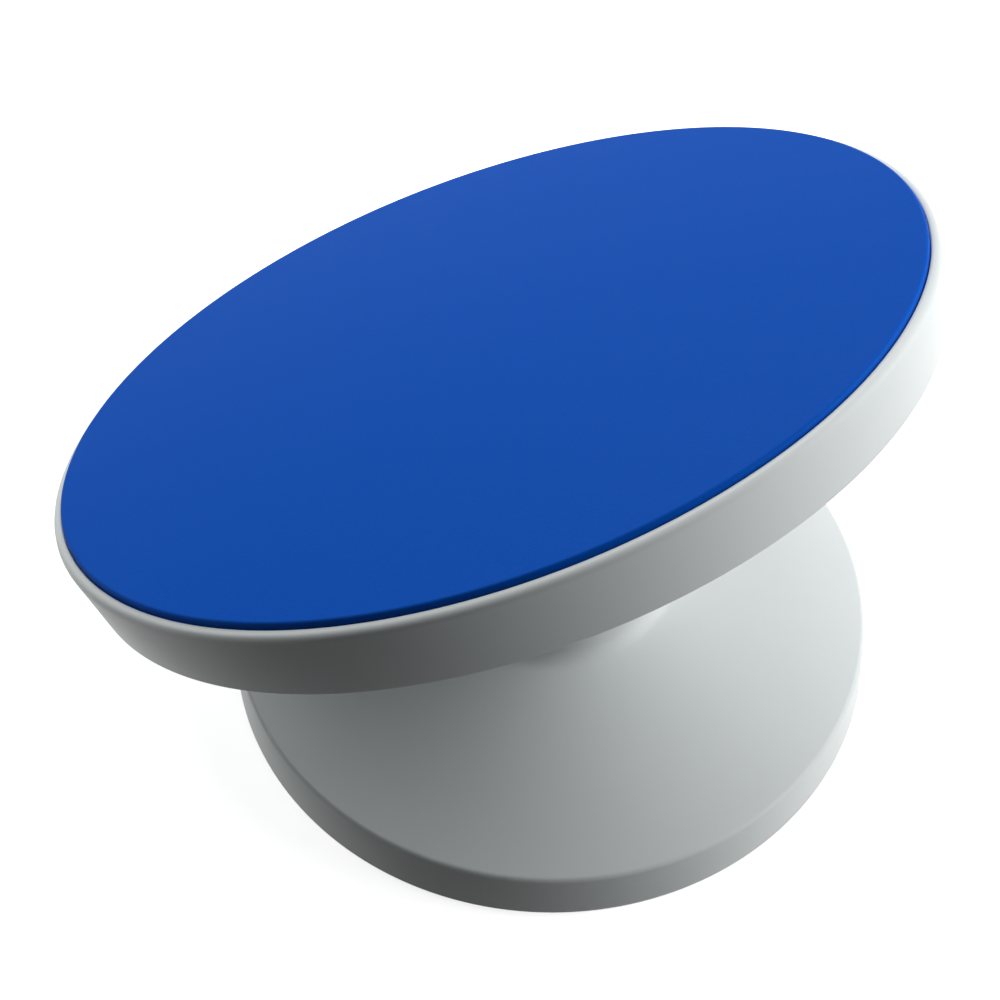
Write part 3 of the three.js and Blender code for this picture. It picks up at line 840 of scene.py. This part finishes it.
pin_low, pin_high = level_box("stop_pin")
pin_radius = (pin_high.x - pin_low.x) / 2
pin = turned("steel_stop_pin", rounded([
    (0, pin_low.y), (pin_radius, pin_low.y, pin_end_round),
    (pin_radius, pin_high.y, pin_end_round), (0, pin_high.y)]), steps=48)
pin.rotation_euler.x = -math.pi / 2
pin.location.z = -stop_arm
settle(pin)
lean_over(pin)
finish_piece(pin, "stop_pin", "head", bright_steel)


# ---------------------------------------------------------------------------------------------
# Ball bearing. Twelve polished steel balls, spaced by a moulded cage, roll in the round tracks of
# two hardened steel rings, one on the head's flange and one under the plate's hub.
track_circle = 36 * mm
race_width = 14 * mm
track_radius = 2.8 * mm
track_depth = 1 * mm
track_steps = 12
race_edge = 0.3 * mm
bush_edge = 0.4 * mm
ball_count = 12


def bearing_race(name, node, body, track_on_top):
    """A hardened ring with a round ball track in its upper or its lower face."""
    low, high = level_box(node)
    inner, outer = track_circle - race_width / 2, track_circle + race_width / 2
    rise = track_radius - track_depth
    start = math.asin(rise / track_radius)
    sweep = math.pi - 2 * start
    turns = [-start - sweep * step / track_steps for step in range(track_steps + 1)]
    track = [
        (track_circle + track_radius * math.cos(turn), high.z + rise + track_radius * math.sin(turn))
        for turn in turns]
    outline = [
        (inner, low.z, race_edge), (outer, low.z, race_edge), (outer, high.z, race_edge), *track,
        (inner, high.z, race_edge)]
    if not track_on_top:
        outline = [(radius, low.z + high.z - height, *size) for radius, height, *size in outline]
    race = turned(name, rounded(outline, steps=2), steps=144)
    lean_over(race, smooth_below=30)
    finish_piece(race, node, body, bright_steel)


bearing_race("hardened_lower_race", "lower_race", "head", track_on_top=True)
bearing_race("hardened_upper_race", "upper_race", "plate", track_on_top=False)

cage_low, cage_high = level_box("bearing_cage")
cage_half = cage_high.x - track_circle
cage_ring = flat_ring(
    "moulded_bearing_cage", track_circle - cage_half, track_circle + cage_half, cage_low.z,
    cage_high.z, race_edge)
pockets = drum(
    "ball_pockets", track_radius, cage_low.z - overrun, cage_high.z + overrun, x=track_circle)
combine(cage_ring, repeated_round(pockets, ball_count), "DIFFERENCE")
lean_over(cage_ring, smooth_below=30)
finish_piece(cage_ring, "bearing_cage", "ball_cage", grey_plastic)

for number in range(1, ball_count + 1):
    node = f"bearing_ball_{number}"
    low, high = level_box(node)
    deselect()
    bpy.ops.mesh.primitive_ico_sphere_add(
        subdivisions=4, radius=(high.z - low.z) / 2, location=(low + high) / 2)
    ball = bpy.context.object
    ball.name = ball.data.name = f"polished_ball_{number}"
    lean_over(ball, smooth_below=60)
    finish_piece(ball, node, "ball_cage", bright_steel)

bronze_tone = (0.52, 0.33, 0.14, 1)
bronze = finish_of(
    "sintered_bronze", bronze_tone, 0.4, metallic=1.0, tone_spread=0.12, patch_size=2 * mm,
    gloss_spread=0.1, grain_size=0.2 * mm, grain_depth=0.01 * mm)
bush_low, bush_high = level_box("hub_bush")
bush = flat_ring(
    "bronze_hub_bush", spindle_radius + running_gap, bush_high.x, bush_low.z, bush_high.z, bush_edge)
lean_over(bush)
finish_piece(bush, "hub_bush", "plate", bronze)


# ---------------------------------------------------------------------------------------------
# Plate. One white plastic moulding: a flat deck with a shallow recess for the pad, a rounded rim,
# a deep skirt that narrows downwards, and a hub, a ring and twelve ribs under the deck.
plate_high = level_box("plate_shell")[1]
pad_low, pad_high = level_box("non_slip_pad")
plate_radius = plate_high.y
pad_radius = pad_high.y
rim_top = plate_high.z
skirt_depth = 24 * mm
skirt_end = rim_top - skirt_depth
skirt_end_radius = 148.5 * mm
skirt_end_round = 0.8 * mm
skirt_inner_round = 0.6 * mm
skirt_inner_draft = 0.6 * mm
skirt_fillet = 2.0 * mm
rim_round = 2.6 * mm
plate_wall = 2.6 * mm
recess_gap = 0.3 * mm
recess_floor = pad_low.z - recess_gap
recess_lip_round = 0.5 * mm
deck_thick = 3 * mm
deck_under = recess_floor - deck_thick
counterbore_radius = 13 * mm
counterbore_floor = recess_floor - 6.2 * mm
bush_hole = 9 * mm
boss_radius = 13 * mm
boss_round = 0.5 * mm
hub_draft = 0.6 * mm
hub_fillet = 1.0 * mm
hub_web_under = deck_under - 4 * mm
race_seat_inner = 28 * mm
race_seat_outer = 44 * mm
race_seat_height = 60.1 * mm
dust_ring_inner = 47 * mm
dust_ring_outer = 49.5 * mm
dust_ring_end = flange_top - 1 * mm
dust_ring_draft = 0.4 * mm
ring_rib = 98 * mm
ring_rib_half = 1 * mm
ring_rib_root_half = 1.4 * mm
ring_rib_round = 0.4 * mm
ring_rib_fillet = 0.8 * mm
rib_count = 12
rib_thick = 2 * mm
rib_depth_at_hub = 4 * mm
rib_depth_at_skirt = 2.5 * mm
ring_rib_depth = 3 * mm
rib_root = 1 * mm
rib_edge_round = 0.35 * mm

ring_rib_end = deck_under - ring_rib_depth
plate = turned("moulded_plate", rounded([
    (skirt_end_radius, skirt_end, skirt_end_round),
    (plate_radius, rim_top, rim_round),
    (pad_radius + recess_gap, rim_top, recess_lip_round),
    (pad_radius + recess_gap, recess_floor),
    (counterbore_radius, recess_floor), (counterbore_radius, counterbore_floor),
    (bush_hole, counterbore_floor), (bush_hole, race_seat_height),
    (boss_radius, race_seat_height, boss_round),
    (boss_radius + hub_draft, hub_web_under, hub_fillet),
    (race_seat_inner - hub_draft, hub_web_under, hub_fillet),
    (race_seat_inner, race_seat_height), (race_seat_outer, race_seat_height),
    (race_seat_outer + dust_ring_draft, deck_under), (dust_ring_inner - dust_ring_draft, deck_under),
    (dust_ring_inner, dust_ring_end, 0.4 * mm), (dust_ring_outer, dust_ring_end, 0.6 * mm),
    (dust_ring_outer + 0.5 * mm, deck_under, 1.5 * mm),
    (ring_rib - ring_rib_root_half, deck_under, ring_rib_fillet),
    (ring_rib - ring_rib_half, ring_rib_end, ring_rib_round),
    (ring_rib + ring_rib_half, ring_rib_end, ring_rib_round),
    (ring_rib + ring_rib_root_half, deck_under, ring_rib_fillet),
    (plate_radius - plate_wall - skirt_inner_draft, deck_under, skirt_fillet),
    (skirt_end_radius - plate_wall, skirt_end, skirt_inner_round)]), steps=240)

deselect()
rib_start = dust_ring_outer - 1 * mm
rib_end = skirt_end_radius - plate_wall + 2 * mm
bpy.ops.mesh.primitive_cube_add(
    size=1,
    location=((rib_start + rib_end) / 2, 0, deck_under - rib_depth_at_hub / 2 + rib_root / 2),
    scale=(rib_end - rib_start, rib_thick, rib_depth_at_hub + rib_root))
rib = named("ribs")
bpy.ops.object.mode_set(mode="OBJECT")
bpy.ops.object.transform_apply(location=True, rotation=True, scale=True)
bpy.ops.object.mode_set(mode="EDIT")
bpy.ops.mesh.select_mode(type="EDGE")
bpy.ops.mesh.select_all(action="DESELECT")
cage = bmesh.from_edit_mesh(rib.data)
for edge in cage.edges:
    middle = (edge.verts[0].co + edge.verts[1].co) / 2
    at_skirt = middle.x > rib_end - rib_thick / 2
    edge.select = at_skirt and middle.z < deck_under - rib_depth_at_hub + rib_root
bmesh.update_edit_mesh(rib.data)
bpy.ops.transform.translate(value=(0, 0, rib_depth_at_hub - rib_depth_at_skirt))
settle(rib)
soften_edges(rib, rib_edge_round)
rib.rotation_euler.z = math.pi / rib_count
settle(rib)
combine(plate, repeated_round(rib, rib_count), "UNION")
lean_over(plate, smooth_below=30)
plate.data.materials.append(white_plastic)
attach(plate, "plate")
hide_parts("plate_shell")


# ---------------------------------------------------------------------------------------------
# Non-slip pad. A round sheet of satin blue rubber that lies in the plate's recess and stands
# a little proud of the rim. Its top edge is rounded.
pad_blue = (0.0005, 0.088, 0.52, 1)
pad_round = 1.1 * mm
pad_lower_round = 0.3 * mm
pad = turned("rubber_pad", rounded([
    (0, pad_low.z), (pad_radius, pad_low.z, pad_lower_round), (pad_radius, pad_high.z, pad_round),
    (0, pad_high.z)]), steps=240)
lean_over(pad)
blue_rubber = finish_of(
    "blue_rubber", pad_blue, 0.58, specular=0.04, tone_spread=0.1, patch_size=1.6 * mm,
    gloss_spread=0.06, grain_size=0.6 * mm, grain_depth=0.05 * mm)
pad.data.materials.append(blue_rubber)
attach(pad, "plate")
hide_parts("non_slip_pad")


# ---------------------------------------------------------------------------------------------
# Studio. A wide pale floor and a pale dome round it, which glow faintly, and five soft lights:
# three from the right, one from behind and a weaker one from the left. The camera looks down
# from the front right at the leaning plate.
floor_size = 14
floor_gap = 0.2 * mm
floor_tone = (0.86, 0.86, 0.86, 1)
floor_glow = 0.93
paper_roughness = 0.9
backdrop_radius = floor_size * 0.68
sensor_width = 36
nearest_seen = 0.01
sky_tone = (0.9, 0.93, 1, 1)
sky_glow = 0.02
deselect()
bpy.ops.mesh.primitive_plane_add(size=floor_size, location=(0, 0, -floor_gap))
floor = bpy.context.object
floor.name = "studio_floor"
floor.visible_diffuse = False
paper = bpy.data.materials.new("studio_paper")
paper.use_nodes = True
paper_shader = paper.node_tree.nodes["Principled BSDF"]
paper_shader.inputs["Base Color"].default_value = floor_tone
paper_shader.inputs["Roughness"].default_value = paper_roughness
paper_shader.inputs["Emission Color"].default_value = floor_tone
paper_shader.inputs["Emission Strength"].default_value = floor_glow
floor.data.materials.append(paper)

deselect()
bpy.ops.mesh.primitive_uv_sphere_add(segments=64, ring_count=32, radius=backdrop_radius)
backdrop = bpy.context.object
backdrop.name = "studio_backdrop"
backdrop.visible_diffuse = False
backdrop.visible_glossy = False
backdrop.visible_shadow = False
backdrop.data.materials.append(paper)

view_azimuth = math.radians(47.8)
view_elevation = math.radians(52.3)
view_roll = math.radians(-0.85)
view_distance = 683.8 * mm
aim = Vector((-11.6, -12.9, 80.0)) * mm
focal_length = 72
to_camera = Vector((
    math.sin(view_azimuth) * math.cos(view_elevation),
    -math.cos(view_azimuth) * math.cos(view_elevation),
    math.sin(view_elevation)))

bpy.ops.object.camera_add(location=aim + to_camera * view_distance)
camera = bpy.context.object
camera.name = "camera"
camera.rotation_mode = "QUATERNION"
straight = (-to_camera).to_track_quat("-Z", "Y")
camera.rotation_quaternion = straight @ Matrix.Rotation(view_roll, 3, "Z").to_quaternion()
camera.data.lens = focal_length
camera.data.sensor_width = sensor_width
camera.data.clip_start = nearest_seen
bpy.context.scene.camera = camera

image_right = Vector((math.cos(view_azimuth), math.sin(view_azimuth), 0))
away = Vector((-math.sin(view_azimuth), math.cos(view_azimuth), 0))
up = Vector((0, 0, 1))


def soft_light(name, rightwards, backwards, upwards, size, watts):
    """A square lamp at that place as seen from the camera, facing the turntable."""
    place = image_right * rightwards + away * backwards + up * upwards
    deselect()
    bpy.ops.object.light_add(type="AREA", location=place)
    lamp = bpy.context.object
    lamp.name = name
    lamp.data.size = size
    lamp.data.energy = watts
    lamp.rotation_euler = (aim - place).to_track_quat("-Z", "Y").to_euler()


soft_light("light_right", 1.7, 0.5, 1.1, 1.6, 16.5)
soft_light("light_front_right", 1.8, -0.3, 0.8, 1.2, 19.5)
soft_light("light_low_right", 1.5, 0.4, 0.3, 0.6, 5)
soft_light("light_behind", -0.1, 1.5, 1.2, 1.3, 22)
soft_light("light_left", -1.6, 0.7, 0.9, 1.0, 10)

world = bpy.data.worlds.new("studio")
bpy.context.scene.world = world
world.use_nodes = True
sky = world.node_tree.nodes["Background"]
sky.inputs["Color"].default_value = sky_tone
sky.inputs["Strength"].default_value = sky_glow

look = bpy.context.scene.view_settings
look.view_transform = "Standard"
look.look = "None"
